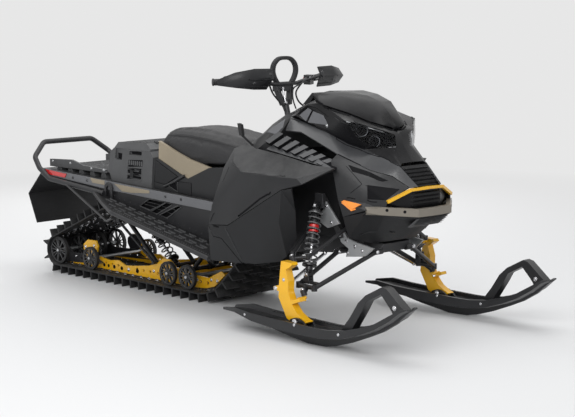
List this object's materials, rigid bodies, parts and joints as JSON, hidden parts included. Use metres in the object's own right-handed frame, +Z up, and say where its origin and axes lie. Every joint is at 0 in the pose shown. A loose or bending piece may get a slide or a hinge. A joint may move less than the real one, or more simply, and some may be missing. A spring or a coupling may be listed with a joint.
{
  "type": "snowmobile",
  "caption": "Utility snowmobile with faceted body, steered skis on a tubular front end, wide track in a tunnel, seat, lidded storage box, rear rack and snow flap.",
  "frame": {"origin": "centre of the bounding box's footprint on the ground plane", "axes": "+X forward to the ski tips, +Y to the rider's left, +Z up"},
  "size_m": [3.424, 1.235, 1.377],
  "materials": {
    "body_black": "satin moulded panel",
    "body_dark": "fine grained, dark",
    "gloss_black": "gloss",
    "stripe_grey": "satin",
    "beige": "satin",
    "yellow_paint": "gloss paint",
    "yellow_plastic": "gloss",
    "lens_clear": "clear lens over dark reflectors",
    "lens_red": "gloss",
    "lens_orange": "gloss",
    "frame_black": "satin powder coat",
    "cast_grey": "cast",
    "steel_dark": "satin",
    "chrome_steel": "bright",
    "rubber_track": "moulded rubber",
    "rubber_flap": "ribbed rubber",
    "wheel_black": "moulded wheels with rubber rims",
    "ski_plastic": "moulded ski plastic",
    "seat_vinyl": "grained seat cover",
    "engine_metal": "cast block",
    "grip_rubber": "rubber and painted tube",
    "strap_fabric": "woven strap",
    "gauge_gloss": "gloss"
  },
  "bodies": {
    "frame": {"tunnel": "frame_black", "tunnel_strips": "stripe_grey", "tail_lamps": "lens_red", "running_boards": "frame_black", "rear_bumper": "frame_black", "rear_deck": "body_dark", "snow_flap": "rubber_flap", "track": "rubber_track", "slide_rails": "yellow_paint", "wheels_axles": "wheel_black", "skid_arms": "steel_dark", "skid_shocks": "steel_dark", "storage_box": "body_dark", "seat_base": "body_black", "seat_trim": "beige", "seat": "seat_vinyl", "tank_cover": "body_dark", "footwells": "body_dark", "hood": "body_black", "hood_stripes": "stripe_grey", "headlamps": "lens_clear", "nose_panels": "body_black", "reflectors": "lens_orange", "grille": "gloss_black", "nose_trim": "yellow_plastic", "front_bumper": "beige", "belly_pan": "body_dark", "side_panels": "body_black", "lower_panels": "body_dark", "gill_vents": "body_dark", "windshield": "gloss_black", "gauge": "gauge_gloss", "pull_handle": "grip_rubber", "engine_block": "engine_metal", "front_frame": "frame_black", "front_brackets": "cast_grey", "front_arms": "steel_dark", "front_shocks": "chrome_steel"},
    "lid": {"storage_lid": "body_dark"},
    "steering": {"steering_post": "frame_black", "handlebar": "grip_rubber", "handguards": "body_black", "grab_strap": "strap_fabric"},
    "leg_right": {"spindle_R": "yellow_paint", "ski_R": "ski_plastic"},
    "leg_left": {"spindle_L": "yellow_paint", "ski_L": "ski_plastic"},
    "rod_right": {"tie_rod_R": "chrome_steel"},
    "rod_left": {"tie_rod_L": "chrome_steel"}
  },
  "joints": [
    {"name": "handlebar_turn", "type": "hinge", "parent": "frame", "child": "steering", "pos_m": [0.36, 0, 1], "axis": [-0.2547, 0, 0.967], "range_deg": [-36, 36]},
    {"name": "ski_right_turn", "type": "hinge", "parent": "frame", "child": "leg_right", "pos_m": [0.968, -0.49, 0.211], "axis": [-0.4226, 0, 0.9063], "range_deg": [-30, 30]},
    {"name": "ski_left_turn", "type": "hinge", "parent": "frame", "child": "leg_left", "pos_m": [0.968, 0.49, 0.211], "axis": [-0.4226, 0, 0.9063], "range_deg": [-30, 30]},
    {"name": "tie_rod_right_swing", "type": "hinge", "parent": "leg_right", "child": "rod_right", "pos_m": [0.83, -0.4877, 0.249], "axis": [-0.4226, 0, 0.9063], "range_deg": [-30, 30]},
    {"name": "tie_rod_left_swing", "type": "hinge", "parent": "leg_left", "child": "rod_left", "pos_m": [0.83, 0.4877, 0.249], "axis": [-0.4226, 0, 0.9063], "range_deg": [-30, 30]},
    {"name": "box_lid", "type": "hinge", "parent": "frame", "child": "lid", "pos_m": [-0.904, 0, 0.819], "axis": [0, -1, 0], "range_deg": [0, 95]}
  ],
  "couplings": [
    {"joint": "ski_right_turn", "follows": "handlebar_turn", "ratio": 0.8},
    {"joint": "ski_left_turn", "follows": "handlebar_turn", "ratio": 0.8},
    {"joint": "tie_rod_right_swing", "follows": "handlebar_turn", "ratio": -0.8},
    {"joint": "tie_rod_left_swing", "follows": "handlebar_turn", "ratio": -0.8}
  ]
}
